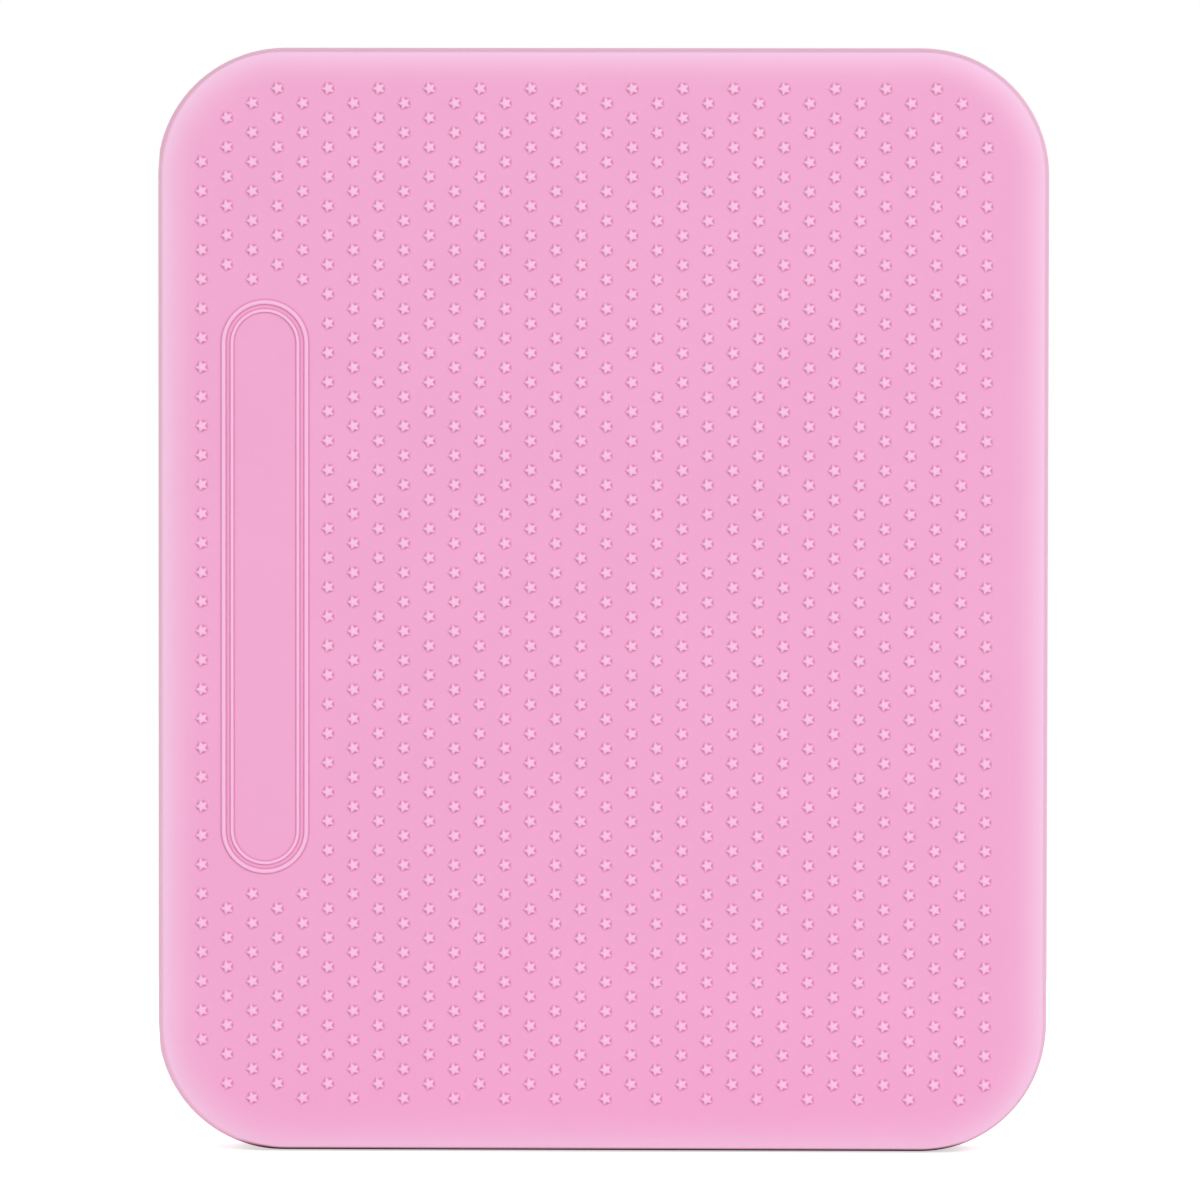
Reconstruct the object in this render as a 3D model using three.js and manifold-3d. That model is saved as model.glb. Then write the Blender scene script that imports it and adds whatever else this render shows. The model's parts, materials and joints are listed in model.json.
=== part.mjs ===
// Pin badge board: a flat hollow case of two moulded silicone covers that opens like a book.
// Badges are pushed through the flat faces, and their clutches are hidden in the space inside.
// A web moulded along the left side is the hinge. Each cover is held straight by a plastic frame
// that snaps under its lip, and the frames carry the magnets that keep the free side shut.
// Millimetres. The board stands on its bottom edge: X to the right, Y to the back, Z up, with the
// origin under the middle of the board. The halves meet at y = 0, and the front one is at y < 0.
import * as THREE from "three";
import { mergeVertices } from "three/addons/utils/BufferGeometryUtils.js";
import Module from "manifold-3d";

// The board as a whole
const boardWidth = 244;
const boardHeight = 302;
const boardThickness = 25;
const cornerRadius = 33;
const seamGap = 0.3; // between the two halves when they are shut
const clearance = 0.3; // between a piece and the seat it lies in

// Silicone covers: a crowned face, a drafted side wall and an undercut lip
const faceThickness = 3;
const wallThickness = 3.2;
const landDepth = 7; // the side wall is near upright to this depth, and leans in beyond it
const landDraft = 0.35; // lean of the upright part, which the foot doesn't have, to stand on
const edgeInset = 1.4; // the face's edge stands this far inside the lip
const spineEdgeInset = 0.7; // and this far along the spine
const footEdgeInset = 1.1; // and this far above the foot
const crownWidth = 6.6; // strip round the face that falls away towards its edge
const crownDrop = 1.3;
const cavityFillet = 1.5;
const lipThickness = 1.1; // the flap of silicone that holds the frame in
const frameGrooveDepth = 1.5;

// Living hinge: the folded web is a round bead between the two lips
const beadRadius = 0.7;
const beadEndMargin = 2; // the bead stops this far short of the rounded corners
const spineGap = 0.25; // each spine wall stands this far inside the hinge's axis

// Plastic frames
const frameWidth = 7;
const frameThickness = 4.2;
const frameChamfer = 0.6;
const flangeThickness = 1.8;
const tongueWidth = 1.6;
const tongueTipWidth = 1.1;
const tongueHeight = 1.8;
const tongueInset = 1.2; // from the outer side of the frame to the tongue

// Closure magnets, along the free side
const magnetCount = 5;
const magnetRadius = 3;
const magnetThickness = 2;
const magnetChamfer = 0.25;
const magnetWall = 1.1; // plastic left round a magnet's pocket
const magnetEndMargin = 12; // from the rounded corner to the first magnet

// How finely round forms are cut into facets
const cornerSteps = 14;
const crownSteps = 5;
const filletSteps = 3;
const roundSides = 24;
const beadSides = 16;
const domeSteps = 3;

const overrun = 1; // how far a cutting tool runs past what it cuts

// Places worked out from the sizes above
const halfThickness = boardThickness / 2;
const hingeX = -boardWidth / 2 + beadRadius;
const coverLeft = hingeX + spineGap;
const coverRight = boardWidth / 2;
const seamDepth = seamGap / 2;
const cavityDepth = halfThickness - faceThickness;
const grooveTop = seamDepth + lipThickness;
const grooveBottom = grooveTop + flangeThickness + 2 * clearance;
const frameOuter = wallThickness + clearance;
const frameInner = frameOuter + frameWidth;
const frameBack = seamDepth + frameThickness;
const tongueCentre = frameOuter + tongueInset + tongueWidth / 2;
const tongueStart = coverLeft + cornerRadius;
const pocketRadius = magnetRadius + clearance;
const bossRadius = pocketRadius + magnetWall;
const magnetInset = tongueCentre + tongueWidth / 2 + clearance + magnetWall + pocketRadius;
const magnetX = coverRight - magnetInset;

const silicone = new THREE.MeshStandardMaterial({ color: 0xf3add4, roughness: 0.55, metalness: 0 });
const webSilicone = new THREE.MeshStandardMaterial({ color: 0xe7a0c6, roughness: 0.55, metalness: 0 });
const framePlastic = new THREE.MeshStandardMaterial({ color: 0xe48fbb, roughness: 0.4, metalness: 0 });
const nickel = new THREE.MeshStandardMaterial({ color: 0xc9c9cc, roughness: 0.25, metalness: 1 });

const wasm = await Module();
wasm.setup();

// A closed geometry as a solid that can be joined and cut.
function toSolid(geometry) {
  const bare = geometry.clone();
  bare.deleteAttribute("normal");
  bare.deleteAttribute("uv");
  const merged = mergeVertices(bare);
  return new wasm.Manifold(
    new wasm.Mesh({
      numProp: 3,
      vertProperties: merged.attributes.position.array,
      triVerts: new Uint32Array(merged.index.array),
    }),
  );
}

// A solid as a geometry, with flat-shaded facets.
function toGeometry(solid) {
  const mesh = solid.getMesh();
  const indexed = new THREE.BufferGeometry();
  indexed.setAttribute("position", new THREE.BufferAttribute(mesh.vertProperties, 3));
  indexed.setIndex(new THREE.BufferAttribute(mesh.triVerts, 1));
  const flat = indexed.toNonIndexed();
  flat.computeVertexNormals();
  return flat;
}

// The cover's outline in plan, drawn in by inset, as points that run anticlockwise seen from the
// front. The spine side and the foot can be drawn in by different amounts.
function outline({ inset, spineInset = inset, footInset = inset }) {
  const radius = cornerRadius - inset;
  const left = coverLeft + spineInset + radius;
  const right = coverRight - inset - radius;
  const bottom = footInset + radius;
  const top = boardHeight - inset - radius;
  const centres = [
    [right, bottom],
    [right, top],
    [left, top],
    [left, bottom],
  ];
  const points = [];
  centres.forEach(([x, z], corner) => {
    for (let step = 0; step <= cornerSteps; step++) {
      const angle = (corner - 1 + step / cornerSteps) * (Math.PI / 2);
      points.push([x + radius * Math.cos(angle), z + radius * Math.sin(angle)]);
    }
  });
  return points;
}

// Carries a profile round the outline. Each profile point has an inset and a depth from the seam,
// and side is -1 for the front half and +1 for the back. A looped profile makes a ring, and an
// open one starts and ends in a flat face.
function sweepRound(profile, side, looped) {
  const rings = profile.map((point) =>
    outline(point).map(([x, z]) => [x, side * point.depth, z]),
  );
  const around = rings[0].length;
  const triangles = [];
  const bands = looped ? rings.length : rings.length - 1;
  for (let band = 0; band < bands; band++) {
    const near = band * around;
    const far = ((band + 1) % rings.length) * around;
    for (let i = 0; i < around; i++) {
      const next = (i + 1) % around;
      triangles.push([near + i, far + i, near + next], [near + next, far + i, far + next]);
    }
  }
  if (!looped) {
    const last = (rings.length - 1) * around;
    for (let i = 1; i < around - 1; i++) {
      triangles.push([0, i, i + 1], [last, last + i + 1, last + i]);
    }
  }
  const geometry = new THREE.BufferGeometry();
  geometry.setAttribute("position", new THREE.Float32BufferAttribute(rings.flat(2), 3));
  geometry.setIndex(facingOut(triangles, rings.flat()).flat());
  return geometry;
}

// The triangles, turned round together if they enclose a negative volume.
function facingOut(triangles, points) {
  let volume = 0;
  for (const [a, b, c] of triangles) {
    const corner = new THREE.Vector3(...points[b]).cross(new THREE.Vector3(...points[c]));
    volume += corner.dot(new THREE.Vector3(...points[a]));
  }
  return volume < 0 ? triangles.map(([a, b, c]) => [a, c, b]) : triangles;
}

// A round bar along Y between two depths.
function barAlongY(radius, x, z, from, to) {
  const bar = new THREE.CylinderGeometry(radius, radius, Math.abs(to - from), roundSides);
  return bar.translate(x, (from + to) / 2, z);
}

// The folded web of the hinge, swollen by a gap where it is used to cut its own channel.
function beadBar(gap) {
  const straight = boardHeight - 2 * (cornerRadius + beadEndMargin);
  const bar = new THREE.CapsuleGeometry(beadRadius + gap, straight, domeSteps, beadSides);
  return bar.rotateX(Math.PI / 2).translate(hingeX, 0, boardHeight / 2);
}

// Heights of the magnets, evenly spaced along the free side.
function magnetHeights() {
  const first = cornerRadius + magnetEndMargin;
  const pitch = (boardHeight - 2 * first) / (magnetCount - 1);
  return Array.from({ length: magnetCount }, (_, k) => first + pitch * k);
}

// One silicone cover: face, crowned rim, side wall, lip, groove for the frame, and the hollow.
function makeCover(side) {
  const profile = [];
  const spineShift = edgeInset - spineEdgeInset;
  const footShift = edgeInset - footEdgeInset;
  for (let step = crownSteps; step >= 0; step--) {
    const share = step / crownSteps;
    const inset = edgeInset + crownWidth * share;
    profile.push({
      inset,
      spineInset: inset - spineShift,
      footInset: inset - footShift,
      depth: halfThickness - crownDrop * (1 - share) ** 2,
    });
  }
  profile.push(
    { inset: landDraft, spineInset: 0, footInset: 0, depth: landDepth },
    { inset: 0, depth: seamDepth },
    { inset: wallThickness, depth: seamDepth },
    { inset: wallThickness, depth: grooveTop },
    { inset: wallThickness - frameGrooveDepth, depth: grooveTop },
    { inset: wallThickness - frameGrooveDepth, depth: grooveBottom },
    { inset: wallThickness, depth: grooveBottom },
  );
  for (let step = 0; step <= filletSteps; step++) {
    const angle = (step / filletSteps) * (Math.PI / 2);
    profile.push({
      inset: wallThickness + cavityFillet * (1 - Math.cos(angle)),
      depth: cavityDepth - cavityFillet * (1 - Math.sin(angle)),
    });
  }
  const shell = toSolid(sweepRound(profile, side, false));
  return toGeometry(shell.subtract(toSolid(beadBar(clearance))));
}

// The plain ring of a frame: a chamfered bar with a flange that snaps into the cover's groove.
function frameRing(side) {
  const flangeTop = grooveTop + clearance;
  const flangeBottom = flangeTop + flangeThickness;
  const flangeOuter = wallThickness - frameGrooveDepth + clearance;
  const profile = [
    { inset: frameOuter, depth: seamDepth },
    { inset: frameInner - frameChamfer, depth: seamDepth },
    { inset: frameInner, depth: seamDepth + frameChamfer },
    { inset: frameInner, depth: frameBack - frameChamfer },
    { inset: frameInner - frameChamfer, depth: frameBack },
    { inset: frameOuter + frameChamfer, depth: frameBack },
    { inset: frameOuter, depth: frameBack - frameChamfer },
    { inset: frameOuter, depth: flangeBottom },
    { inset: flangeOuter, depth: flangeBottom },
    { inset: flangeOuter, depth: flangeTop },
    { inset: frameOuter, depth: flangeTop },
  ];
  return toSolid(sweepRound(profile, side, true));
}

// The part of a ring that runs along the top, the free side and the bottom, from x = start on.
function awayFromSpine(ring, start) {
  const length = coverRight + overrun - start;
  const box = new THREE.BoxGeometry(length, boardThickness, boardHeight);
  return ring.intersect(toSolid(box.translate(start + length / 2, 0, boardHeight / 2)));
}

// The tapered tongue of the front frame, which reaches across the seam.
function tongue() {
  const profile = [
    { inset: tongueCentre - tongueWidth / 2, depth: seamDepth + frameChamfer },
    { inset: tongueCentre - tongueWidth / 2, depth: seamDepth },
    { inset: tongueCentre - tongueTipWidth / 2, depth: seamDepth - tongueHeight },
    { inset: tongueCentre + tongueTipWidth / 2, depth: seamDepth - tongueHeight },
    { inset: tongueCentre + tongueWidth / 2, depth: seamDepth },
    { inset: tongueCentre + tongueWidth / 2, depth: seamDepth + frameChamfer },
  ];
  return awayFromSpine(toSolid(sweepRound(profile, -1, true)), tongueStart);
}

// The groove of the back frame, which takes the tongue with a clearance all round.
function tongueGroove() {
  const reach = tongueWidth / 2 + clearance;
  const bottom = tongueHeight - seamDepth + clearance;
  const profile = [
    { inset: tongueCentre - reach, depth: seamDepth - overrun },
    { inset: tongueCentre - reach, depth: bottom },
    { inset: tongueCentre + reach, depth: bottom },
    { inset: tongueCentre + reach, depth: seamDepth - overrun },
  ];
  return awayFromSpine(toSolid(sweepRound(profile, 1, true)), tongueStart - clearance);
}

// One frame, with a boss and a blind pocket for each magnet.
function makeFrame(side) {
  let frame = frameRing(side);
  for (const z of magnetHeights()) {
    const boss = barAlongY(bossRadius, magnetX, z, side * seamDepth, side * frameBack);
    frame = frame.add(toSolid(boss));
  }
  for (const z of magnetHeights()) {
    const mouth = side * (seamDepth - overrun);
    const floor = side * (seamDepth + magnetThickness + clearance);
    frame = frame.subtract(toSolid(barAlongY(pocketRadius, magnetX, z, mouth, floor)));
  }
  frame = side < 0 ? frame.add(tongue()) : frame.subtract(tongueGroove());
  return toGeometry(frame);
}

// A disc magnet with chamfered rims, flush with the frame's face.
function makeMagnet() {
  const half = magnetThickness / 2;
  const profile = [
    new THREE.Vector2(0, -half),
    new THREE.Vector2(magnetRadius - magnetChamfer, -half),
    new THREE.Vector2(magnetRadius, magnetChamfer - half),
    new THREE.Vector2(magnetRadius, half - magnetChamfer),
    new THREE.Vector2(magnetRadius - magnetChamfer, half),
    new THREE.Vector2(0, half),
  ];
  return new THREE.LatheGeometry(profile, roundSides);
}

function addPiece(group, name, geometry, material) {
  const mesh = new THREE.Mesh(geometry, material);
  mesh.name = name;
  group.add(mesh);
  return mesh;
}

// One half of the board: its cover, its frame and its magnets.
function makeHalf(name, side) {
  const half = new THREE.Group();
  addPiece(half, `${name}_cover`, makeCover(side), silicone);
  addPiece(half, `${name}_frame`, makeFrame(side), framePlastic);
  magnetHeights().forEach((z, k) => {
    const magnet = addPiece(half, `${name}_magnet_${k + 1}`, makeMagnet(), nickel);
    magnet.position.set(magnetX, side * (seamDepth + magnetThickness / 2), z);
  });
  return half;
}

const board = new THREE.Group();
board.add(makeHalf("front", -1));
board.add(makeHalf("back", 1));
addPiece(board, "spine_hinge", beadBar(0), webSilicone);

export default board;
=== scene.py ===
# %% [markdown]
# This notebook dresses a silicone pin badge board. The real one is a flat hollow case: two moulded
# covers joined by a web along the spine, each held straight by a plastic ring with magnets in it.
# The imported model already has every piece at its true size, so the first step is to load it and
# to read from it where things are.

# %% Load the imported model
import json
import math

import bmesh
import bpy
import numpy as np
from mathutils import Matrix, Vector
from mathutils.geometry import delaunay_2d_cdt


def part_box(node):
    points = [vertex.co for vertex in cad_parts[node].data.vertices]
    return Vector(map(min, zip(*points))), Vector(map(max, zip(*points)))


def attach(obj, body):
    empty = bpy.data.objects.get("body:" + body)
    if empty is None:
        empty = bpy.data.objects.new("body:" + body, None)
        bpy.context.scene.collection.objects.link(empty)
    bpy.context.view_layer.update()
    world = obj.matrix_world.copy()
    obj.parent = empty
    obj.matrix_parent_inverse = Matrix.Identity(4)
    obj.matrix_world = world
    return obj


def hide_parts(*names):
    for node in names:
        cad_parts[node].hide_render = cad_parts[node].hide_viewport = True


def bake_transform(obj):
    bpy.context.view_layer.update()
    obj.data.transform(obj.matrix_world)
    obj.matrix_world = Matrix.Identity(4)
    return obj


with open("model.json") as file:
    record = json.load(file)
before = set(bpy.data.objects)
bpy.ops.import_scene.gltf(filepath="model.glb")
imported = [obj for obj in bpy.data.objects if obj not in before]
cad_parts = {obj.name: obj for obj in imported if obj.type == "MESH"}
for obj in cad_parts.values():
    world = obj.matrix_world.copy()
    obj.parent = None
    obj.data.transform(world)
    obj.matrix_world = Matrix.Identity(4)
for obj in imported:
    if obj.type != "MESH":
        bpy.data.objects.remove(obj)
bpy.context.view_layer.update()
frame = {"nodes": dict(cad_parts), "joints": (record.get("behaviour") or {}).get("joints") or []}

MM = 0.001

# %% [markdown]
# The photograph was taken with a long lens from a little above and a hair to the right. The lattice
# of stars on the face measures that view well, because its rows and columns close up by a few
# pixels over the board. A camera is fixed first, so that every later step is judged in the frame
# it has to match.

# %% Camera
VIEW_DISTANCE = 2.4
VIEW_AZIMUTH = math.radians(1.0)
VIEW_ELEVATION = math.radians(2.36)
VIEW_ROLL = math.radians(0.08)
AIM = Vector((-0.75 * MM, 0, 150.8 * MM))
FRAME_PIXELS = 1200
FOCAL_PIXELS = 8745
SENSOR = 36


def photo_camera():
    """A camera at AIM plus distance times the direction (sin a cos e, -cos a cos e, sin e)."""
    lens = bpy.data.cameras.new("photo_camera")
    lens.sensor_width = SENSOR
    lens.lens = SENSOR * FOCAL_PIXELS / FRAME_PIXELS
    camera = bpy.data.objects.new("photo_camera", lens)
    bpy.context.scene.collection.objects.link(camera)
    level = math.cos(VIEW_ELEVATION)
    away = Vector((math.sin(VIEW_AZIMUTH) * level, -math.cos(VIEW_AZIMUTH) * level,
                   math.sin(VIEW_ELEVATION)))
    turn = (-away).to_track_quat("-Z", "Y").to_matrix().to_4x4()
    roll = Matrix.Rotation(VIEW_ROLL, 4, "Z")
    camera.matrix_world = Matrix.Translation(AIM + away * VIEW_DISTANCE) @ turn @ roll
    bpy.context.scene.camera = camera
    return camera


camera = photo_camera()
print("lens", round(camera.data.lens, 1), "mm")

# %% [markdown]
# Sizes come next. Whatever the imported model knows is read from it: how far the covers reach, the
# depth of the halves and the hinge's axis. The rest are the moulder's own sizes, in millimetres,
# which the model's boxes can't tell: the radius of the corners, the crown of the face, the lip and
# the groove that holds the ring. The corners are a little rounder outside than inside, where they
# fit the ring. Along the spine the outline bulges a little, so that the corners run on smoothly
# into the web, but the straight wall stops short of the hinge's axis, because the two spine walls
# meet back to back when the board lies open.

# %% Sizes
cover_low, cover_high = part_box("front_cover")
COVER_LEFT = cover_low.x
COVER_RIGHT = cover_high.x
BOARD_HEIGHT = cover_high.z
HALF_DEPTH = -cover_low.y
SEAM_DEPTH = -cover_high.y
HINGE = Vector(frame["joints"][0]["pos_m"])
CORNER_RADIUS = 33 * MM
OUTER_RADIUS = 34.8 * MM
CORNER_STEPS = 24

FACE_THICKNESS = 3 * MM
WALL_THICKNESS = 3.2 * MM
LAND_DEPTH = 7 * MM
LAND_DRAFT = 0.35 * MM
EDGE_INSET = 1.4 * MM
FOOT_EDGE_INSET = 0.8 * MM
SPINE_EDGE_INSET = 0.45 * MM
SPINE_BULGE = 0.8 * MM
SPINE_GAP = 0.05 * MM
CROWN_WIDTH = 6.6 * MM
CROWN_DROP = 1.3 * MM
CROWN_STEPS = 20
CAVITY_DEPTH = HALF_DEPTH - FACE_THICKNESS
CAVITY_FILLET = 1.5 * MM
LIP_DEPTH = SEAM_DEPTH + 1.1 * MM
GROOVE_DEPTH = LIP_DEPTH + 2.4 * MM
GROOVE_REACH = 1.5 * MM
SPINE_CHAMFER = 1.02 * MM
BOARD_CENTRE = np.array([(COVER_LEFT + COVER_RIGHT) / 2, BOARD_HEIGHT / 2])
BOARD_HALF = np.array([(COVER_RIGHT - COVER_LEFT) / 2, BOARD_HEIGHT / 2])
print("board", COVER_LEFT, COVER_RIGHT, BOARD_HEIGHT, "half depth", HALF_DEPTH)

# %% [markdown]
# Every finish on the board is worked out from Object coordinates, so that it stays put when the
# case opens. Shader sums get hard to read as trees of nodes, so a small class wraps a socket and
# lets Python's own operators add the Math nodes. All other nodes come from one method.

# %% A class for shader sums
class Wire:
    """A node's output that can be added to, subtracted from, multiplied and raised to a power."""

    def __init__(self, wiring, socket):
        self.wiring = wiring
        self.socket = socket

    def also(self, output):
        """Another output of the same node."""
        return Wire(self.wiring, self.socket.node.outputs[output])

    def __add__(self, other):
        return self.wiring.sum("ADD", self, other)

    __radd__ = __add__

    def __sub__(self, other):
        return self.wiring.sum("SUBTRACT", self, other)

    def __rsub__(self, other):
        return self.wiring.sum("SUBTRACT", other, self)

    def __mul__(self, other):
        return self.wiring.sum("MULTIPLY", self, other)

    __rmul__ = __mul__

    def __pow__(self, other):
        return self.wiring.sum("POWER", self, other)

    def __abs__(self):
        return self.wiring.sum("ABSOLUTE", self)

    def at_least(self, other):
        """The larger of the two."""
        return self.wiring.sum("MAXIMUM", self, other)

    def at_most(self, other):
        """The smaller of the two."""
        return self.wiring.sum("MINIMUM", self, other)

    def between(self, low, high):
        """0 where the value is at most low, 1 where it is at least high, and a straight ramp between."""
        return self.wiring.node("ShaderNodeMapRange", {"clamp": True},
                                {"Value": self, "From Min": low, "From Max": high}, "Result")


# %% A class for whole finishes
class Wiring:
    """A tree of nodes being built, with one method for every kind of node."""

    def __init__(self, tree):
        self.tree = tree
        tree.nodes.clear()

    def node(self, kind, settings=None, sockets=None, output=0):
        """Adds a node, applies its settings, sets or links its inputs, and wraps one output."""
        made = self.tree.nodes.new(kind)
        for key, value in (settings or {}).items():
            setattr(made, key, value)
        for key, value in (sockets or {}).items():
            if isinstance(value, Wire):
                self.tree.links.new(value.socket, made.inputs[key])
            else:
                made.inputs[key].default_value = value
        return Wire(self, made.outputs[output]) if made.outputs else None

    def sum(self, operation, *values):
        """One Math node on up to three values."""
        return self.node("ShaderNodeMath", {"operation": operation}, dict(enumerate(values)))

    def mix(self, share, first, second):
        """A colour that goes from first to second as share goes from 0 to 1."""
        return self.node("ShaderNodeMix", {"data_type": "RGBA"}, {0: share, 6: first, 7: second}, 2)

    def place(self):
        """Object coordinates, in metres."""
        return self.node("ShaderNodeTexCoord", output="Object")

    def noise(self, place, size, detail=2.0, roughness=0.5):
        """Noise whose lumps are about size across, with values round 0.5."""
        return self.node("ShaderNodeTexNoise", {},
                         {"Vector": place, "Scale": 1 / size, "Detail": detail,
                          "Roughness": roughness}, "Fac")

    def bump(self, height, distance, strength=1.0):
        """A normal bent as if the surface stood out by height times distance."""
        return self.node("ShaderNodeBump", {},
                         {"Height": height, "Distance": distance, "Strength": strength}, "Normal")


class Finish(Wiring):
    """The nodes of one material."""

    def __init__(self, name):
        self.material = bpy.data.materials.new(name)
        self.material.use_nodes = True
        super().__init__(self.material.node_tree)

    def ends_in(self, shader):
        """Links the shader to the output, and returns the finished material."""
        self.node("ShaderNodeOutputMaterial", {}, {"Surface": shader})
        print(self.material.name, len(self.tree.nodes), "nodes")
        return self.material

    def principled(self, **sockets):
        """A Principled BSDF. Underscores in the sockets' names stand for spaces."""
        named = {key.replace("_", " "): value for key, value in sockets.items()}
        return self.node("ShaderNodeBsdfPrincipled", {}, named, "BSDF")


def colour(red, green, blue):
    """An sRGB colour in 0 to 255, as the linear RGBA that shaders take."""
    levels = np.array([red, green, blue]) / 255
    linear = np.where(levels <= 0.04045, levels / 12.92, ((levels + 0.055) / 1.055) ** 2.4)
    return (*linear.tolist(), 1.0)


# %% [markdown]
# The covers are soft silicone with colour all through. What makes it read as silicone and not as
# paint is how little happens: a faint cloudiness a few centimetres wide, a fine grain from the
# mould, a dull gloss. Along the crowned rim a paler pink is painted in as a sheen, worked out from
# how far inside the rounded outline of the board a point lies, and the side walls are painted a
# paler, greyer pink as a sheen too. The stars carry a painted highlight on top and painted shade
# in their notches, which the mesh holds as a value per point, from -1 for the highlight to 1 for
# the shade. Along the foot a dark red is painted as the contact shadow under the board, with no
# gloss, and a Mix Shader goes over to a plain diffuse shader there. Inside the case nothing wipes
# the skin, so the powder that keeps it from sticking to the mould is still there in soft pale
# patches.

# %% Silicone
FACE_PINK = colour(241, 169, 209)
CLOUD_PINK = colour(238, 165, 206)
# Painted sheen: a paler pink along the crowned rim.
PAINTED_RIM_SHEEN = colour(246, 200, 229)
# Painted highlight on the stars' tops, and painted shade in their notches.
PAINTED_TOP_HIGHLIGHT = colour(251, 202, 232)
PAINTED_NOTCH_SHADE = colour(208, 122, 166)
# Painted sheen on the side walls, a paler and greyer pink.
PAINTED_WALL_SHEEN = colour(240, 186, 212)
POWDER_PINK = colour(248, 204, 228)
# Painted contact shadow along the foot, a dark red without gloss.
PAINTED_FOOT_SHADOW = colour(112, 10, 38)
# How far in from the outline the painted rim sheen reaches, and how fast it fades.
PAINTED_SHEEN_WIDTH = 15 * MM
PAINTED_SHEEN_POWER = 3
WALL_REACH = (0.5 * EDGE_INSET, 0.95 * EDGE_INSET)
# Height over which the painted foot shadow fades out.
FOOT_SHADOW_RISE = (1.2 * MM, 3.4 * MM)
CLOUD_SIZE = 32 * MM
CLOUD_SHARE = 0.7
SPECK_SIZE = 1.1 * MM
SPECK_SHARE = 0.5
SMEAR_SIZE = 14 * MM
POWDER_SHARE = 0.28
POWDER_FADE = 1 * MM
# How strongly the painted shade and painted highlight show.
PAINTED_SHADING_SHARE = 0.9
GRAIN_SIZE = 0.35 * MM
GRAIN_HEIGHT = 0.012 * MM


def inside_outline(x, z):
    """Distance inside the board's rounded outline: its radius, less how far the point lies beyond
    the corners' centres, or plus how far it lies within them."""
    beyond_x = abs(x - float(BOARD_CENTRE[0])) - float(BOARD_HALF[0] - OUTER_RADIUS)
    beyond_z = abs(z - float(BOARD_CENTRE[1])) - float(BOARD_HALF[1] - OUTER_RADIUS)
    corner_x, corner_z = beyond_x.at_least(0), beyond_z.at_least(0)
    length = (corner_x * corner_x + corner_z * corner_z) ** 0.5
    return OUTER_RADIUS - length - beyond_x.at_least(beyond_z).at_most(0)


def silicone():
    """Pink by place: cloud and specks, powder inside, painted sheen on the rim and walls, painted
    shade in the notches, painted highlight on the tops and a painted shadow at the foot.
    """
    mix = Finish("silicone")
    place = mix.place()
    x = mix.node("ShaderNodeSeparateXYZ", {}, {"Vector": place}, "X")
    depth = abs(x.also("Y"))
    inside = inside_outline(x, x.also("Z"))
    cloud = mix.noise(place, CLOUD_SIZE, detail=3, roughness=0.55).between(0.3, 0.7)
    speck = mix.noise(place, SPECK_SIZE, detail=2, roughness=0.6)
    smear = mix.noise(place, SMEAR_SIZE, detail=3, roughness=0.6)
    grain = mix.noise(place, GRAIN_SIZE, detail=3, roughness=0.6)
    body = mix.mix(cloud * CLOUD_SHARE + (speck - 0.5) * SPECK_SHARE, FACE_PINK, CLOUD_PINK)
    hidden = 1 - depth.between(CAVITY_DEPTH, CAVITY_DEPTH + POWDER_FADE)
    body = mix.mix(smear.between(0.42, 0.7) * hidden * POWDER_SHARE, body, POWDER_PINK)
    # Painted sheen, paler towards the board's edge, on the outside of the face only.
    rim = (1 - inside.between(EDGE_INSET, PAINTED_SHEEN_WIDTH)) ** PAINTED_SHEEN_POWER
    outer = mix.mix(rim * depth.between(CAVITY_DEPTH, HALF_DEPTH - CROWN_DROP), body, PAINTED_RIM_SHEEN)
    # The side walls take the painted sheen's paler, greyer pink.
    walls = 1 - inside.between(*WALL_REACH)
    # Painted contact shadow on the walls near the floor.
    foot = (1 - x.also("Z").between(*FOOT_SHADOW_RISE)) * walls
    # Painted shade in the notches and painted highlight on the tops, from the mesh's value per point.
    painted_shading = mix.node("ShaderNodeAttribute", {"attribute_name": "painted_shading"}, {}, "Fac")
    skin = mix.mix(painted_shading.at_least(0) * PAINTED_SHADING_SHARE, mix.mix(walls, outer, PAINTED_WALL_SHEEN), PAINTED_NOTCH_SHADE)
    moulded = mix.principled(
        Base_Color=mix.mix((0 - painted_shading).at_least(0) * PAINTED_SHADING_SHARE, skin, PAINTED_TOP_HIGHLIGHT),
        Roughness=0.54 + (smear - 0.5) * 0.12 + (grain - 0.5) * 0.1,
        Normal=mix.bump(grain, GRAIN_HEIGHT, 0.5),
        IOR=1.41,
    )
    # The painted shadow at the foot is a plain diffuse shader without gloss.
    foot_shadow_shader = mix.node("ShaderNodeBsdfDiffuse", {}, {"Color": PAINTED_FOOT_SHADOW}, "BSDF")
    return mix.ends_in(mix.node("ShaderNodeMixShader", {}, {0: foot, 1: moulded, 2: foot_shadow_shader}, "Shader"))


SILICONE = silicone()

# %% [markdown]
# The rings are moulded in a firmer plastic of a deeper pink, and the magnets are plated with
# nickel. Plastic straight from a mould has a fine even texture and faint flow marks. Nickel plate
# is bright, but the tumbling it gets leaves it covered in hairlines, which here are noise that is
# stretched a lot along one direction.

# %% Ring plastic and nickel plate
RING_PINK = colour(226, 138, 182)
RING_SHADE = colour(216, 124, 170)
NICKEL_LIGHT = colour(214, 212, 206)
NICKEL_DULL = colour(178, 172, 160)
FLOW_SIZE = 22 * MM
FLOW_SHARE = 0.8
TEXTURE_SIZE = 0.28 * MM
TEXTURE_HEIGHT = 0.01 * MM
HAIRLINE_SIZE = 0.5 * MM
HAIRLINE_STRETCH = (9, 1, 1)
HAIRLINE_HEIGHT = 0.004 * MM
TARNISH_SIZE = 2.2 * MM
TARNISH_SHARE = 0.7


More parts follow.
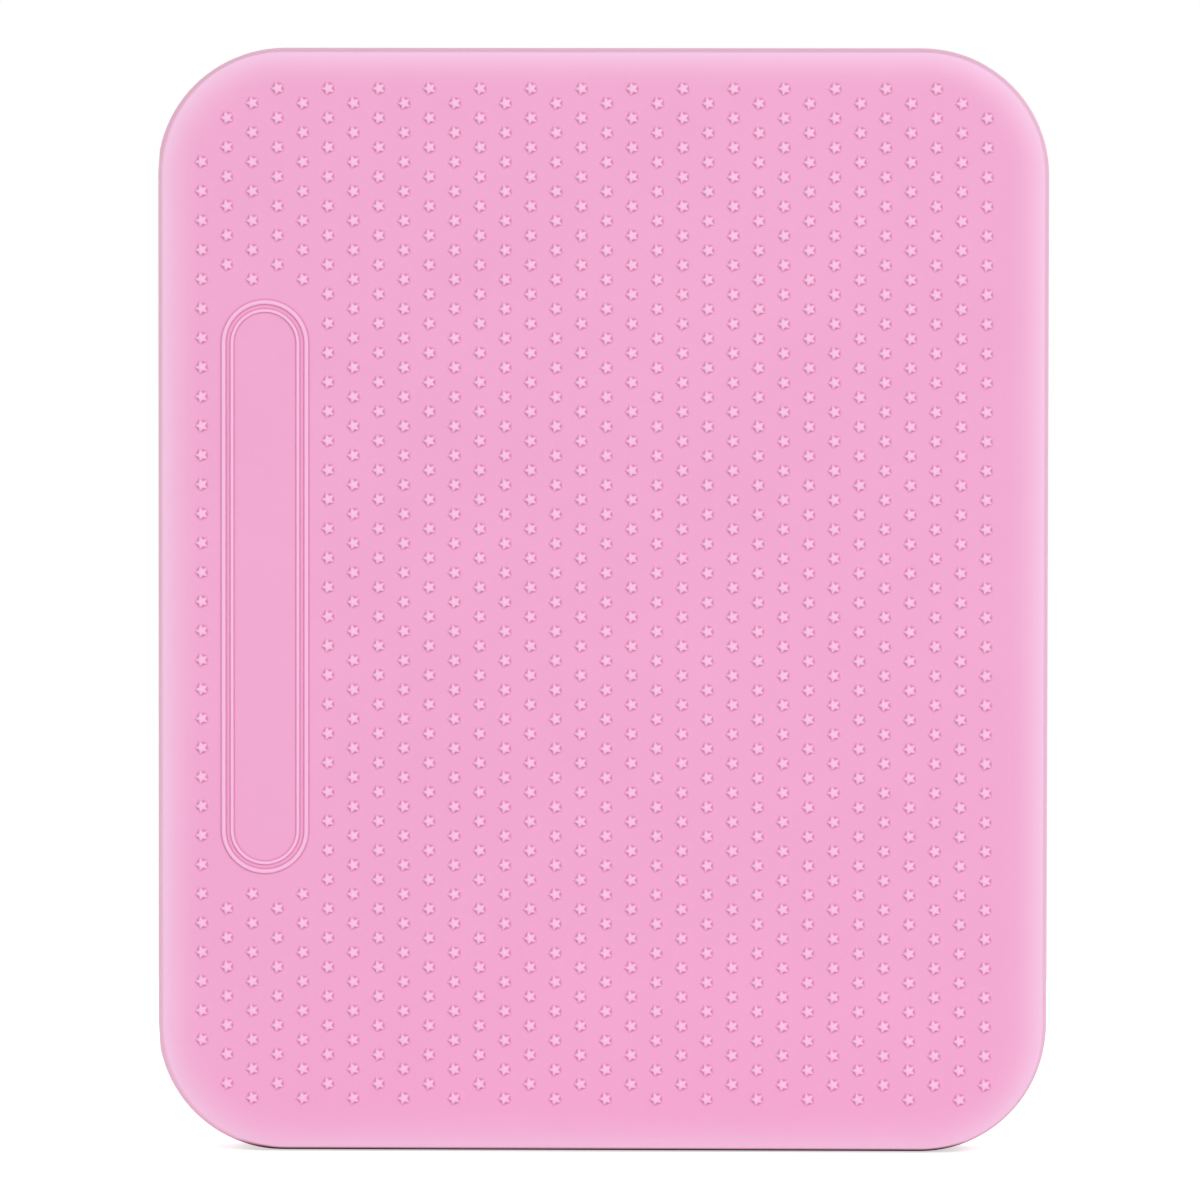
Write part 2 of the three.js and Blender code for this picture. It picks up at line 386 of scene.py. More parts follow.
def ring_plastic():
    """Two pinks mixed by wide flow marks, with a fine texture in the gloss and the normal."""
    mix = Finish("frame_plastic")
    place = mix.place()
    flow = mix.noise(place, FLOW_SIZE, detail=3, roughness=0.6).between(0.35, 0.65)
    texture = mix.noise(place, TEXTURE_SIZE, detail=2, roughness=0.5)
    return mix.ends_in(mix.principled(
        Base_Color=mix.mix(flow * FLOW_SHARE, RING_PINK, RING_SHADE),
        Roughness=0.34 + (texture - 0.5) * 0.22 + flow * 0.06,
        Normal=mix.bump(texture, TEXTURE_HEIGHT, 0.6),
        IOR=1.5,
    ))


def nickel_plate():
    """A metal mixed by tarnish, with hairlines in the gloss and the normal."""
    mix = Finish("magnet_plating")
    place = mix.place()
    scaled = {"Vector": place, "Scale": HAIRLINE_STRETCH}
    stretched = mix.node("ShaderNodeMapping", {}, scaled, "Vector")
    hairline = mix.noise(stretched, HAIRLINE_SIZE, detail=4, roughness=0.7)
    tarnish = mix.noise(place, TARNISH_SIZE, detail=3, roughness=0.6).between(0.45, 0.75)
    return mix.ends_in(mix.principled(
        Base_Color=mix.mix(tarnish * TARNISH_SHARE, NICKEL_LIGHT, NICKEL_DULL),
        Metallic=1.0,
        Roughness=0.2 + (hairline - 0.5) * 0.2 + tarnish * 0.12,
        Normal=mix.bump(hairline, HAIRLINE_HEIGHT, 0.5),
    ))


RING_PLASTIC = ring_plastic()
NICKEL = nickel_plate()

# %% [markdown]
# New pieces are gathered as whole arrays of points and index grids, and handed to Blender once.
# A closed piece encloses a volume, and its sign says whether the faces look outwards, so a piece
# made for one half of the board and mirrored for the other can be turned the right way without
# any editing.

# %% A gatherer of surfaces
class Surface:
    """Points and faces of one piece. Points are added as arrays and come back as index grids."""

    def __init__(self):
        self.points = []
        self.painted_shading = []
        self.quads = []
        self.triangles = []
        self.caps = []
        self.count = 0

    def add(self, points, painted_shading=0.0):
        """Keeps an array of points, and how much painted shade (above 0) or painted highlight (below 0)
        each carries, and returns their indices in the same layout."""
        flat = points.reshape(-1, 3)
        self.points.append(flat)
        self.painted_shading.append(np.broadcast_to(painted_shading, points.shape[:-1]).ravel())
        start = self.count
        self.count += len(flat)
        return np.arange(start, self.count).reshape(points.shape[:-1])

    def weave(self, grid):
        """Quads between neighbouring rows of an index grid, and round each row."""
        across = np.roll(grid, -1, axis=-1)
        corners = [grid[..., :-1, :], across[..., :-1, :], across[..., 1:, :], grid[..., 1:, :]]
        self.quads.append(np.stack(corners, -1).reshape(-1, 4))

    def fan(self, rings, centres):
        """Triangles from each ring's points to its own centre."""
        around = np.roll(rings, -1, axis=-1)
        middle = np.broadcast_to(centres[..., None], rings.shape)
        self.triangles.append(np.stack([rings, around, middle], -1).reshape(-1, 3))

    def cap(self, ring):
        """One flat face over a ring."""
        self.caps.append(ring)

    def signed_volume(self, points):
        """A sixth of the sum of the triple products of all the triangles' corners."""
        quads = np.concatenate(self.quads)
        triangles = [quads[:, [0, 1, 2]], quads[:, [0, 2, 3]], *self.triangles]
        for ring in self.caps:
            first = np.full(len(ring) - 2, ring[0])
            triangles.append(np.stack([first, ring[1:-1], ring[2:]], -1))
        a, b, c = np.moveaxis(points[np.concatenate(triangles)], 1, 0)
        return float(np.einsum("ij,ij->", a, np.cross(b, c)) / 6)

    def build(self, name, material, sharp=40):
        """Makes the object: smooth faces, with edges kept sharp past the given angle."""
        points = np.concatenate(self.points)
        faces = [row for block in (*self.quads, *self.triangles) for row in block.tolist()]
        faces += [ring.tolist() for ring in self.caps]
        volume = self.signed_volume(points)
        if volume < 0:
            faces = [row[::-1] for row in faces]
        mesh = bpy.data.meshes.new(name)
        mesh.from_pydata(points.tolist(), [], faces)
        mesh.shade_smooth()
        mesh.set_sharp_from_angle(angle=math.radians(sharp))
        # The painted shade and highlight go into the mesh as a value per point.
        painted_shading = mesh.attributes.new("painted_shading", "FLOAT", "POINT")
        painted_shading.data.foreach_set("value", np.concatenate(self.painted_shading).astype(np.float32))
        mesh.materials.append(material)
        piece = bpy.data.objects.new(name, mesh)
        bpy.context.scene.collection.objects.link(piece)
        print(name, len(faces), "faces,", round(abs(volume) * 1e6, 2), "cubic cm")
        return piece


# %% [markdown]
# A cover's section is drawn as a line of corners. Each corner has five numbers, because the side
# wall isn't alike all round: an inset for the top and the free side, one for the spine, one for
# the foot, the radius that the board's own corners have there, and a depth from the seam. Moulded
# silicone has no knife edges, so every corner is eased into a short curve. A parabola through
# three points does this in one formula for all the corners at once.

# %% Section and outline helpers
EASE_STEPS = 5
MOST_OF_A_SIDE = 0.45
TOUCHING = 1e-6 * MM
NOT_ZERO = 1e-12


def eased(corners, reaches):
    """Replaces each corner P by (1-t)^2 A + 2t(1-t) P + t^2 B, where A and B lie on its two
    sides, its reach away or at MOST_OF_A_SIDE of the side. The line's two ends stay as they are."""
    corners = np.asarray(corners, float)
    before = np.roll(corners, 1, axis=0) - corners
    after = np.roll(corners, -1, axis=0) - corners
    before[0] = after[-1] = 0
    span_before = np.linalg.norm(before[:, [0, -1]], axis=1) + NOT_ZERO
    span_after = np.linalg.norm(after[:, [0, -1]], axis=1) + NOT_ZERO
    reach = np.asarray(reaches, float)
    start = corners + before * np.minimum(reach / span_before, MOST_OF_A_SIDE)[:, None]
    stop = corners + after * np.minimum(reach / span_after, MOST_OF_A_SIDE)[:, None]
    t = np.linspace(0, 1, EASE_STEPS)[None, :, None]
    curve = (1 - t) ** 2 * start[:, None] + 2 * t * (1 - t) * corners[:, None] + t ** 2 * stop[:, None]
    flat = curve.reshape(-1, corners.shape[1])
    moved = np.linalg.norm(np.diff(flat, axis=0), axis=1) > TOUCHING
    return flat[np.concatenate([[True], moved])]


def outlines(section, side):
    """Rounded rectangles, one for each row of the section. A corner's points are its centre plus
    the radius less the inset times (cos a, sin a), with a stepped evenly through the quarter turn.
    No point passes the plane through the hinge's axis."""
    inset, spine, foot, corner, depth = np.asarray(section).T
    radius = corner - inset
    left = COVER_LEFT + spine + radius
    right = COVER_RIGHT - inset - radius
    low = foot + radius
    high = BOARD_HEIGHT - inset - radius
    angle = np.radians([-90, 0, 90, 180])[:, None] + np.linspace(0, np.pi / 2, CORNER_STEPS + 1)
    centre_x = np.stack([right, right, left, left], -1)[..., None]
    centre_z = np.stack([low, high, high, low], -1)[..., None]
    x = np.maximum(centre_x + radius[:, None, None] * np.cos(angle), HINGE.x + SPINE_GAP)
    z = centre_z + radius[:, None, None] * np.sin(angle)
    y = np.broadcast_to(side * depth[:, None, None], x.shape)
    return np.stack([x, y, z], -1).reshape(len(section), -1, 3)


EDGE_EASE = 0.35 * MM
WALL_EASE = 1.2 * MM
SEAM_EASE = 0.3 * MM
CHAMFER_EASE = 0.22 * MM
LIP_EASE = 0.2 * MM
GROOVE_EASE = 0.15 * MM


def inner(inset, depth):
    """A corner of the section with one inset all round, inside the wall."""
    return (inset, inset, inset, CORNER_RADIUS, depth)


def cover_section():
    """The crown falls away as the square of the way to the edge. Eased corners make up the rest:
    the face's edge, the drafted wall, the seam, the lip, the groove and the hollow."""
    share = np.linspace(1, 0, CROWN_STEPS, endpoint=False)
    run = CROWN_WIDTH * share
    crown = np.stack([EDGE_INSET + run, SPINE_EDGE_INSET + run, FOOT_EDGE_INSET + run,
                      np.full(CROWN_STEPS, OUTER_RADIUS),
                      HALF_DEPTH - CROWN_DROP * (1 - share) ** 2], -1)
    edge_depth = HALF_DEPTH - CROWN_DROP
    chamfer_depth = SEAM_DEPTH + SPINE_CHAMFER
    groove = WALL_THICKNESS - GROOVE_REACH
    corners = [
        (crown[-1], 0),
        ((EDGE_INSET, SPINE_EDGE_INSET, FOOT_EDGE_INSET, OUTER_RADIUS, edge_depth), EDGE_EASE),
        ((LAND_DRAFT, -SPINE_BULGE, 0, OUTER_RADIUS, LAND_DEPTH), WALL_EASE),
        ((0, -SPINE_BULGE, 0, OUTER_RADIUS, chamfer_depth), SEAM_EASE),
        ((0, SPINE_CHAMFER, 0, OUTER_RADIUS, SEAM_DEPTH), CHAMFER_EASE),
        (inner(WALL_THICKNESS, SEAM_DEPTH), LIP_EASE),
        (inner(WALL_THICKNESS, LIP_DEPTH), GROOVE_EASE),
        (inner(groove, LIP_DEPTH), GROOVE_EASE),
        (inner(groove, GROOVE_DEPTH), GROOVE_EASE),
        (inner(WALL_THICKNESS, GROOVE_DEPTH), LIP_EASE),
        (inner(WALL_THICKNESS, CAVITY_DEPTH), CAVITY_FILLET),
        (inner(2 * WALL_THICKNESS, CAVITY_DEPTH), 0),
    ]
    points, reaches = zip(*corners)
    return np.concatenate([crown[:-1], eased(points, reaches)])


print(len(cover_section()), "rows in a cover's section")

# %% [markdown]
# The stars are what the eye lands on. They stand on an even lattice, so their places need no list:
# columns one step apart, a star in every second half row, kept where they fall inside a rounded
# rectangle. The front leaves some out for a bare strip down its left side.

# %% The lattice of stars
PITCH = 8 * MM
COLUMN_STEP = 6.908 * MM
COLUMNS = 32
HALF_ROWS = 71
FIRST_COLUMN = -109.33 * MM
FIRST_ROW = 290.69 * MM
FIELD_INSET = 10.8 * MM
FIELD_RADIUS = 23.75 * MM
PLATE_COLUMNS = (1, 4)
PLATE_ROWS = (14, 54)


def star_places(with_plate):
    """Column i and half row j hold a star where i + j is odd, at the first one's place plus i
    column steps across and minus j half pitches down."""
    column, row = np.meshgrid(np.arange(COLUMNS), np.arange(HALF_ROWS), indexing="ij")
    x = FIRST_COLUMN + column * COLUMN_STEP
    z = FIRST_ROW - row * PITCH / 2
    offset = np.abs(np.stack([x, z], -1) - BOARD_CENTRE)
    beyond = np.maximum(offset - (BOARD_HALF - FIELD_INSET - FIELD_RADIUS), 0)
    kept = ((column + row) % 2 == 1) & (np.linalg.norm(beyond, axis=-1) <= FIELD_RADIUS)
    if with_plate:
        in_columns = (column >= PLATE_COLUMNS[0]) & (column <= PLATE_COLUMNS[1])
        in_rows = (row >= PLATE_ROWS[0]) & (row <= PLATE_ROWS[1])
        kept &= ~(in_columns & in_rows)
    return np.stack([x[kept], z[kept]], -1)


print(len(star_places(True)), "stars on the front,", len(star_places(False)), "on the back")

# %% [markdown]
# Bump alone would go flat at the rim of each star, so they are real shapes, a few dozen faces each:
# a flat apron, a wall, a bevel and a flat top. The wall leans far more at the tips than in the
# notches, as the cutter that made the mould left it, so the tips fade into the face. The values
# below go from the apron's edge to the top, and the painted shading holds a tip's and a notch's:
# painted shade at the foot of the notches, painted highlight on the top.

# %% One star
STAR_ARMS = 5
STAR_HEIGHT = 0.55 * MM
STAR_TIPS = np.array([2.3, 2.2, 1.7, 1.25]) * MM
STAR_NOTCHES = np.array([1.9, 1.28, 1.02, 0.84]) * MM
STAR_LIFT_SHARES = np.array([0, 0, 0.75, 1])
# Painted shading at each ring, tip then notch: painted shade in the notches at the wall's foot, painted
# highlight towards the top.
STAR_PAINTED_SHADING = ((0, 0), (-0.4, 1), (-0.7, 0.5), (-0.9, -0.5))
STAR_CENTRE_PAINTED_SHADING = -1.0


def star_rings(places, side):
    """Ten points round each centre, tip and notch in turn, at a = 180 degrees plus 36 degrees a
    step. The first ring lies flat round the star and bulges outwards everywhere, so that nothing
    but the star is inside it. The others shrink from the foot of the wall to its top."""
    point = np.arange(2 * STAR_ARMS)
    angle = np.pi + point * np.pi / STAR_ARMS
    ways = np.stack([np.cos(angle), np.sin(angle)], -1)
    reach = np.stack([STAR_TIPS, STAR_NOTCHES], -1)[:, point % 2]
    lifts = STAR_LIFT_SHARES * STAR_HEIGHT
    flat = places[:, None, None, :] + reach[None, :, :, None] * ways
    y = np.broadcast_to(side * (HALF_DEPTH + lifts)[None, :, None], flat.shape[:-1])
    return np.stack([flat[..., 0], y, flat[..., 1]], -1)


print("rings and points in a star", star_rings(star_places(True)[:1], -1).shape[1:3])

# %% [markdown]
# The bare strip down the left of the face holds a blank plate: a plain raised double line with
# round ends, as high and as soft as the stars. A raised line could be a bevelled curve, but this
# one has to be part of the face's own skin, so each is a small profile carried along a stadium,
# which is two half circles joined by straight sides.

# %% The blank plate
PLATE_WIDTH = 24 * MM
PLATE_LENGTH = 157 * MM
HALF_STRAIGHT = (PLATE_LENGTH - PLATE_WIDTH) / 2
LINE_WIDTHS = (1.4 * MM, 1.1 * MM)
LINE_SPACING = 2.3 * MM
LINE_APRON_SHARE = 1.6
LINE_WIDTH_SHARES = np.array([LINE_APRON_SHARE, 1, 0.74, 0.58, -0.58, -0.74, -1, -LINE_APRON_SHARE])
LINE_LIFT_SHARES = np.array([0, 0, 0.85, 1, 1, 0.85, 0, 0])
# Painted shading along each line: painted shade at its feet, painted highlight along its top.
LINE_PAINTED_SHADING = np.array([0, 0.6, 0, -0.7, -0.7, 0, 0.6, 0])
LINE_MARGIN = 0.98
PLATE_STEPS = 40


def plate_centre():
    """The middle of the lattice places that the plate takes up."""
    across = FIRST_COLUMN + sum(PLATE_COLUMNS) / 2 * COLUMN_STEP
    up = FIRST_ROW - sum(PLATE_ROWS) / 2 * PITCH / 2
    return np.array([across, up])


def line_radius(k):
    """How far from the plate's long axis line k runs, at its middle. The outer line is line 0."""
    return PLATE_WIDTH / 2 - LINE_WIDTHS[0] / 2 - k * LINE_SPACING


def stadium(radius):
    """Half circles of the radius about two centres, HALF_STRAIGHT above and below the middle."""
    turn = np.linspace(0, np.pi, PLATE_STEPS + 1)
    angle = np.concatenate([turn, turn + np.pi])
    lift = np.repeat([HALF_STRAIGHT, -HALF_STRAIGHT], PLATE_STEPS + 1)
    return plate_centre() + np.stack([radius * np.cos(angle), radius * np.sin(angle) + lift], -1)


def plate_lines(side):
    """For each raised line, its loops from the outer foot over the top to the inner foot. A loop
    is a stadium whose radius differs from the line's by a share of half the line's own width, and
    it is lifted by a share of a star's height."""
    lines = []
    for k, width in enumerate(LINE_WIDTHS):
        loops = np.stack([stadium(line_radius(k) + share * width / 2) for share in LINE_WIDTH_SHARES])
        y = np.broadcast_to(side * (HALF_DEPTH + LINE_LIFT_SHARES * STAR_HEIGHT)[:, None],
                            loops.shape[:-1])
        lines.append(np.stack([loops[..., 0], y, loops[..., 1]], -1))
    return lines


print("loops and points in each raised line", [line.shape[:2] for line in plate_lines(-1)])

# %% [markdown]
# The flat field between the stars has to meet every one of them in shared edges, or the shell
# would leak. A constrained Delaunay triangulation does that: it is given the loops of all the
# stars, of the plate's lines and of the crown, and fills the plane between them with triangles.
# Those inside a star's loop join three points of one loop, and those under a raised line lie
# between its two feet, so both are easy to drop.

# %% The flat field
def field_triangles(surface, rim, star_loops, line_feet):
    """Indices of the triangles that fill the plane inside rim and outside the other loops."""
    loops = [rim, *star_loops, *(foot for feet in line_feet for foot in feet)]
    owner = np.concatenate([np.full(len(loop), k) for k, loop in enumerate(loops)])
    chosen = np.concatenate(loops)
    flat = np.concatenate(surface.points)[chosen][:, [0, 2]]
    starts = np.cumsum([0] + [len(loop) for loop in loops[:-1]])
    edges = [(int(s + k), int(s + (k + 1) % len(loop)))
             for s, loop in zip(starts, loops) for k in range(len(loop))]
    corners = [Vector(p) for p in flat]
    _, _, faces, originals, _, _ = delaunay_2d_cdt(corners, edges, [], 0, TOUCHING, True)
    source = np.array([ids[0] for ids in originals])
    triangles = source[np.array(faces)]
    owners = owner[triangles]
    same = (owners[:, 0] == owners[:, 1]) & (owners[:, 1] == owners[:, 2])
    in_star = same & (owners[:, 0] >= 1) & (owners[:, 0] <= len(star_loops))
    middle = flat[triangles].mean(axis=1) - plate_centre()
    beyond = np.maximum(np.abs(middle[:, 1]) - HALF_STRAIGHT, 0)
    distance = np.hypot(middle[:, 0], beyond)
    under = np.zeros(len(triangles), bool)
    for k, width in enumerate(LINE_WIDTHS[:len(line_feet)]):
        under |= np.abs(distance - line_radius(k)) < LINE_APRON_SHARE * width / 2 * LINE_MARGIN
    return chosen[triangles[~(in_star | under)]]


# %% [markdown]
# Now a whole cover can be made as one closed skin: crown, side wall, lip, groove and hollow as one
# sweep, then the field, the stars and the plate. The front and the back are the same shape apart
# from the plate, mirrored in the seam.

# %% Covers
def make_cover(name, side, with_plate):
    """The swept section, the stars and the plate's lines, joined by the flat field between them."""
    places = star_places(with_plate)
    surface = Surface()
    rings = surface.add(outlines(cover_section(), side))
    surface.weave(rings)
    surface.cap(rings[-1])
    stars = surface.add(star_rings(places, side), np.tile(STAR_PAINTED_SHADING, STAR_ARMS))
    surface.weave(stars)
    crest = np.full(len(places), side * (HALF_DEPTH + STAR_HEIGHT))
    centres = np.stack([places[:, 0], crest, places[:, 1]], -1)
    surface.fan(stars[:, -1], surface.add(centres, STAR_CENTRE_PAINTED_SHADING))
    feet = []
    for loops in (plate_lines(side) if with_plate else []):
        line = surface.add(loops, LINE_PAINTED_SHADING[:, None])
        surface.weave(line)
        feet.append((line[0], line[-1]))
    field = field_triangles(surface, rings[0], list(stars[:, 0]), feet)
    surface.triangles.append(field)
    print(name, len(places), "stars,", len(field), "triangles in the flat field")
    return surface.build(name, SILICONE)


front_skin = make_cover("front_cover_skin", -1, True)
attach(front_skin, "front_half")
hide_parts("front_cover")
back_skin = make_cover("back_cover_skin", 1, False)
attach(back_skin, "back_half")
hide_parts("back_cover")

# %% [markdown]
# The covers are moulded in one with a thin web along the spine, which folds like the back of a
# book. Shut, it is a small C in section, with its feet lying along the chamfers of the two lips.
# It could be one bent plate, but a real web is thinnest in its middle and grows into the lips, so
# the section is two curves, and the whole is blended across the hinge. Its ends follow the rounded
# corners of the board in between the lips, so that the board's outline has no step there.

# %% Hinge web
WEB_OVERLAP = 6.9 * MM
WEB_RADII = np.array([0.7, 0.34]) * MM
WEB_FOOT_RADII = np.array([1.1, 0.78]) * MM
WEB_FOOT_TURN = math.radians(135)
WEB_THIN_SHARE = 0.4
WEB_STEPS = 40
WEB_STATIONS = 90


def smooth(share):
    """3 s^2 - 2 s^3, with s held between 0 and 1."""
    share = np.clip(share, 0, 1)
    return share * share * (3 - 2 * share)


def make_web():
    """The section is the point r (-cos a, sin a) round the hinge's axis, with a from the foot on
    the front lip to that on the back, on an outer and an inner radius that grow towards the feet.
    Past the straight part of the spine it is pushed in, by a bell over a times the depth
    R - sqrt(R^2 - d^2) to which the round corner has drawn in after the distance d."""
    turn = np.linspace(-WEB_FOOT_TURN, WEB_FOOT_TURN, WEB_STEPS + 1)
    spread = smooth((np.abs(turn) / WEB_FOOT_TURN - WEB_THIN_SHARE) / (1 - WEB_THIN_SHARE))
    radii = WEB_RADII[:, None] + (WEB_FOOT_RADII - WEB_RADII)[:, None] * spread
    radii = np.concatenate([radii[0], radii[1][::-1]])
    turn = np.concatenate([turn, turn[::-1]])
    bell = np.cos(turn / WEB_FOOT_TURN * np.pi / 2) ** 2
    straight = BOARD_HEIGHT / 2 - OUTER_RADIUS
    reach = straight + WEB_OVERLAP
    z = BOARD_HEIGHT / 2 - reach * np.cos(np.linspace(0, np.pi, WEB_STATIONS))
    past = np.maximum(np.abs(z - BOARD_HEIGHT / 2) - straight, 0)
    drawn_in = OUTER_RADIUS - np.sqrt(OUTER_RADIUS ** 2 - past ** 2)
    x = HINGE.x - radii * np.cos(turn) + drawn_in[:, None] * bell
    y = np.broadcast_to(HINGE.y + radii * np.sin(turn), x.shape)
    surface = Surface()
    rings = surface.add(np.stack([x, y, np.broadcast_to(z[:, None], x.shape)], -1))
    surface.weave(rings)
    surface.cap(rings[0][::-1])
    surface.cap(rings[-1])
    return surface.build("spine_web", SILICONE)


spine_web = make_web()
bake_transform(spine_web)
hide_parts("spine_hinge")

# %% [markdown]
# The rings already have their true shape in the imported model, with bosses, pockets, flange, tongue
# and groove. They only lack the small radius that every moulded edge has, which is what catches
# light. A copy of each is merged, its flat facets are joined, and a Bevel modifier rounds the
# edges. Rebuilding the rings by hand would risk a misfit for no gain.

# %% Rings
EDGE_ROUND = 0.2 * MM
SAME_POINT = 0.001 * MM
FLAT = math.radians(0.5)
SHARP = math.radians(30)


def dressed_ring(node, body):
    """A merged copy of a packed ring, with its edges rounded."""
    mesh = frame["nodes"][node].data.copy()
    work = bmesh.new()
    work.from_mesh(mesh)
    bmesh.ops.remove_doubles(work, verts=work.verts, dist=SAME_POINT)
    bmesh.ops.dissolve_limit(work, angle_limit=FLAT, verts=work.verts, edges=work.edges)
    work.to_mesh(mesh)
    work.free()
    mesh.shade_smooth()
    mesh.set_sharp_from_angle(angle=SHARP)
    mesh.materials.clear()
    mesh.materials.append(RING_PLASTIC)
    piece = bpy.data.objects.new(node + "_moulding", mesh)
    bpy.context.scene.collection.objects.link(piece)
    bevel = piece.modifiers.new("moulded_edges", "BEVEL")
    bevel.width = EDGE_ROUND
    bevel.segments = 2
    bevel.limit_method = "ANGLE"
    bevel.angle_limit = SHARP
    bevel.harden_normals = True
    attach(piece, body)
    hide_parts(node)
    print(piece.name, len(mesh.polygons), "faces before its edges are rounded")


for half in ("front", "back"):
    dressed_ring(half + "_frame", half + "_half")

# %% [markdown]
# The magnets are stock discs. A disc is a profile turned about its axis: flat, a small tumbled
# radius at the rim, and the straight side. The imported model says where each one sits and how
# large it is, so one function makes all ten.

# %% Magnets
MAGNET_RIM = 0.3 * MM
MAGNET_RIM_STEPS = 6
MAGNET_CAP_SHARE = 0.5
MAGNET_SIDES = 64


def make_magnet(node, body):
    """Turns (radius, height) pairs about Y. The rim is r = R - c (1 - cos a), y = h - c (1 - sin a),
    with R and h the disc's radius and half height, and c the radius of its rounded edge. A flat
    cap closes each end inside MAGNET_CAP_SHARE of R."""
    low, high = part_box(node)
    centre, half = (low + high) / 2, (high - low) / 2
    angle = np.linspace(np.pi / 2, 0, MAGNET_RIM_STEPS)
    radius = half.x - MAGNET_RIM * (1 - np.cos(angle))
    height = half.y - MAGNET_RIM * (1 - np.sin(angle))
    cap = [MAGNET_CAP_SHARE * half.x]
    radius = np.concatenate([cap, radius, radius[::-1], cap])
    height = np.concatenate([[half.y], height, -height[::-1], [-half.y]])
    turn = np.linspace(0, 2 * np.pi, MAGNET_SIDES, endpoint=False)
    x = centre.x + radius[:, None] * np.cos(turn)
    z = centre.z + radius[:, None] * np.sin(turn)
    y = np.broadcast_to(centre.y + height[:, None], x.shape)
    surface = Surface()
    rings = surface.add(np.stack([x, y, z], -1))
    surface.weave(rings)
    surface.cap(rings[0][::-1])
    surface.cap(rings[-1])
    piece = surface.build(node + "_disc", NICKEL)
    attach(piece, body)
    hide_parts(node)


for node in sorted(frame["nodes"]):
    if "magnet" in node:
        make_magnet(node, node.split("_")[0] + "_half")

# %% [markdown]
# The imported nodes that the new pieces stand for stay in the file, unseen. They get the same
# finishes, so that the model is right even where one of them is shown.

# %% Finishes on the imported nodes
def finish_of(name):
    """The rings are plastic, the magnets are plated, and all the rest is silicone."""
    if "frame" in name:
        return RING_PLASTIC
    if "magnet" in name:
        return NICKEL
    return SILICONE


for name, node in frame["nodes"].items():
    node.data.materials.clear()
    node.data.materials.append(finish_of(name))
print(len(frame["nodes"]), "packed nodes have their finish")

# %% [markdown]
# The stage is a white floor in white surroundings. The background has to be pure white without
# bleaching the board, so it is white for the camera and for mirror rays only: the world is dimmer
# as a light, and the floor adds a glow of its own to what the camera sees of it, which leaves its
# shadow in. The floor is small, because the world is white where it ends.

# %% Floor and world
WHITE = (1, 1, 1, 1)
FLOOR_WIDTH = 1.5
FLOOR_DEPTH = 1.1
FLOOR_DROP = 0.02 * MM
FLOOR_WHITE = (0.85, 0.85, 0.85, 1)
FLOOR_BOUNCE = (0.86, 0.86, 0.86, 1)
FLOOR_GLOW = 0.6
WORLD_LIGHT = 0.565


def seen_directly(wiring):
    """1 for rays from the camera, from mirrors and through glass, and 0 for light on surfaces."""
    camera = wiring.node("ShaderNodeLightPath", output="Is Camera Ray")
    return camera.at_least(camera.also("Is Glossy Ray")).at_least(camera.also("Is Transmission Ray"))


def white_floor():
    """A plain rectangle just below the board's foot, which glows only where it is seen."""
    paint = Finish("floor_white")
    lit = paint.node("ShaderNodeBsdfDiffuse", {}, {"Color": FLOOR_WHITE}, "BSDF")
    glow = paint.node("ShaderNodeEmission", {}, {"Strength": FLOOR_GLOW}, "Emission")
    shown = paint.node("ShaderNodeAddShader", {}, {0: lit, 1: glow}, "Shader")
    bounce = paint.node("ShaderNodeBsdfDiffuse", {}, {"Color": FLOOR_BOUNCE}, "BSDF")
    both = paint.node("ShaderNodeMixShader", {}, {0: seen_directly(paint), 1: bounce, 2: shown}, "Shader")
    corners = np.array([(-1, -1), (1, -1), (1, 1), (-1, 1)]) * (FLOOR_WIDTH / 2, FLOOR_DEPTH / 2)
    mesh = bpy.data.meshes.new("floor")
    mesh.from_pydata([(x, y, -FLOOR_DROP) for x, y in corners], [], [(0, 1, 2, 3)])
    mesh.materials.append(paint.ends_in(both))
    floor = bpy.data.objects.new("floor", mesh)
    bpy.context.scene.collection.objects.link(floor)


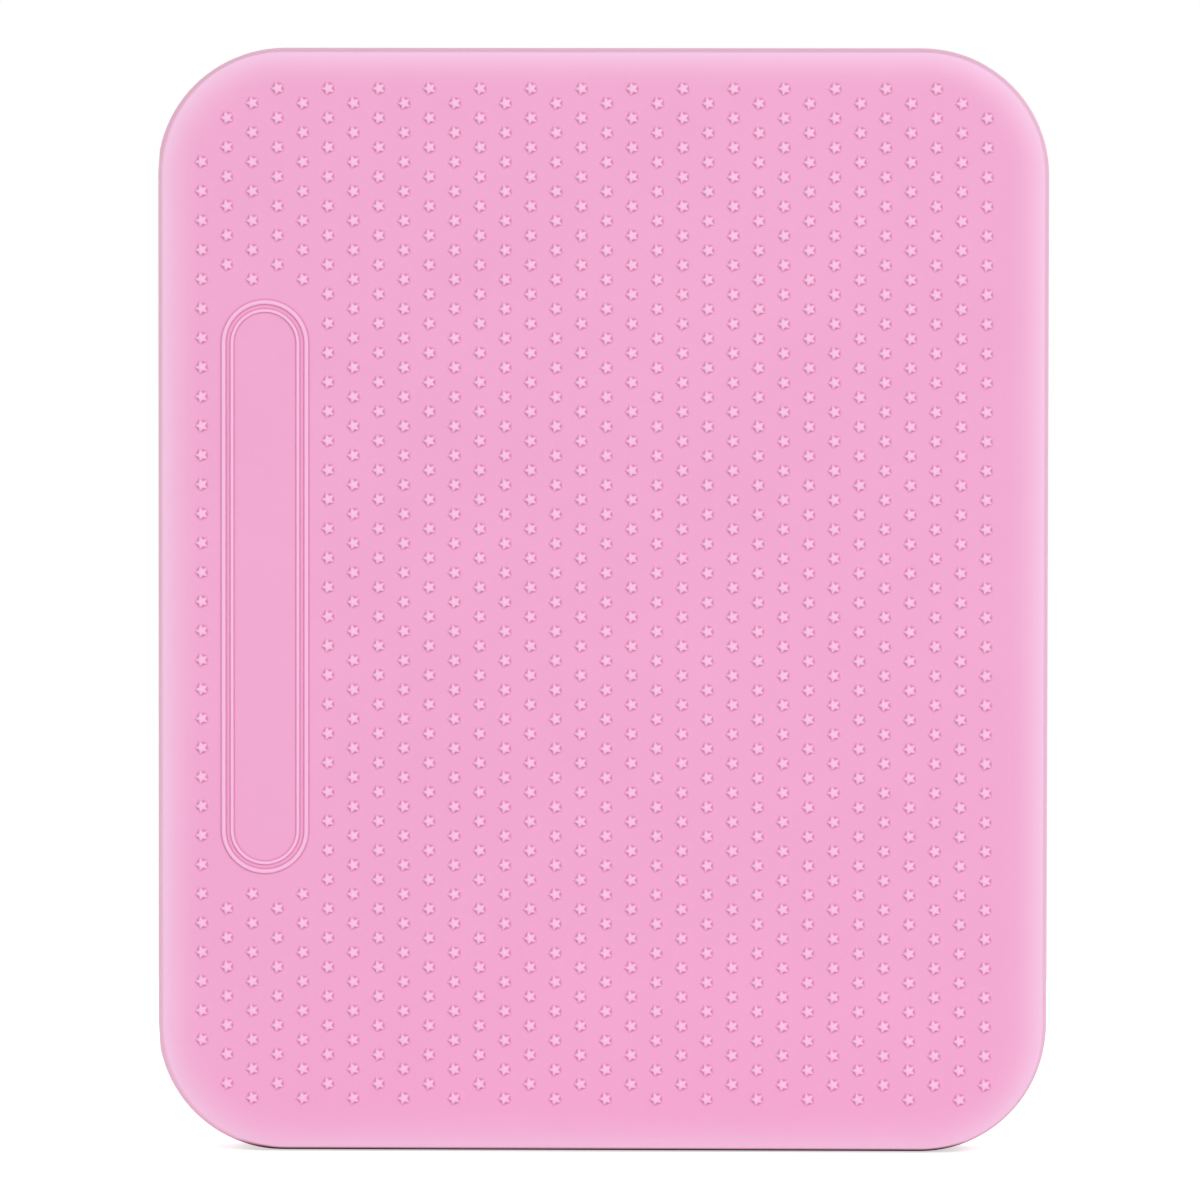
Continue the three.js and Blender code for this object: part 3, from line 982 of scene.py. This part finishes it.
def white_world():
    """Strength 1 where the world is seen, and WORLD_LIGHT where it lights the board."""
    world = bpy.data.worlds.new("white_world")
    world.use_nodes = True
    sky = Wiring(world.node_tree)
    strength = seen_directly(sky) * (1 - WORLD_LIGHT) + WORLD_LIGHT
    light = sky.node("ShaderNodeBackground", {}, {"Color": WHITE, "Strength": strength}, "Background")
    sky.node("ShaderNodeOutputWorld", {}, {"Surface": light})
    bpy.context.scene.world = world


white_floor()
white_world()

# %% [markdown]
# Three softboxes stand round the camera. The one above and to the right is the key: it reaches the
# upper walls of the stars and leaves their lower notches darker. The two at the sides light the
# rim. Two more stand behind for the back of the board. They would glare along its side walls, as
# any lamp does in a wall seen nearly edge on, so they are kept out of reflections. A rectangle of
# power P at distance d lights a surface that faces it to P / (pi d)^2, and one at an angle to the
# cosine's share of that, so the powers are worked out from the level wanted.

# %% Lamps
LAMP_DISTANCE = 3.2
KEY_SIZE = (1.6, 1.0)
SIDE_SIZE = (1.0, 1.2)
BOARD_MIDDLE = Vector((0, 0, BOARD_HEIGHT / 2))


def softbox(name, azimuth, elevation, size, level, mirrored=True):
    """A rectangle of light that faces the board and lights its near face to the level given. One
    that isn't mirrored lights surfaces without showing in their gloss."""
    a, e = math.radians(azimuth), math.radians(elevation)
    way = Vector((math.sin(a) * math.cos(e), -math.cos(a) * math.cos(e), math.sin(e)))
    light = bpy.data.lights.new(name, "AREA")
    light.shape = "RECTANGLE"
    light.size, light.size_y = size
    light.energy = level * (math.pi * LAMP_DISTANCE) ** 2 / abs(way.y)
    lamp = bpy.data.objects.new(name, light)
    lamp.visible_glossy = mirrored
    bpy.context.scene.collection.objects.link(lamp)
    turn = way.to_track_quat("Z", "Y").to_matrix().to_4x4()
    lamp.matrix_world = Matrix.Translation(BOARD_MIDDLE + way * LAMP_DISTANCE) @ turn
    print(name, round(light.energy, 1), "W")


softbox("key_softbox", azimuth=25, elevation=32, size=KEY_SIZE, level=0.2)
softbox("left_softbox", azimuth=-40, elevation=8, size=SIDE_SIZE, level=0.11)
softbox("right_softbox", azimuth=40, elevation=8, size=SIDE_SIZE, level=0.09)
for name, azimuth in (("back_left_softbox", -150), ("back_right_softbox", 150)):
    softbox(name, azimuth, elevation=8, size=SIDE_SIZE, level=0.2, mirrored=False)
bpy.context.scene.view_settings.view_transform = "Standard"
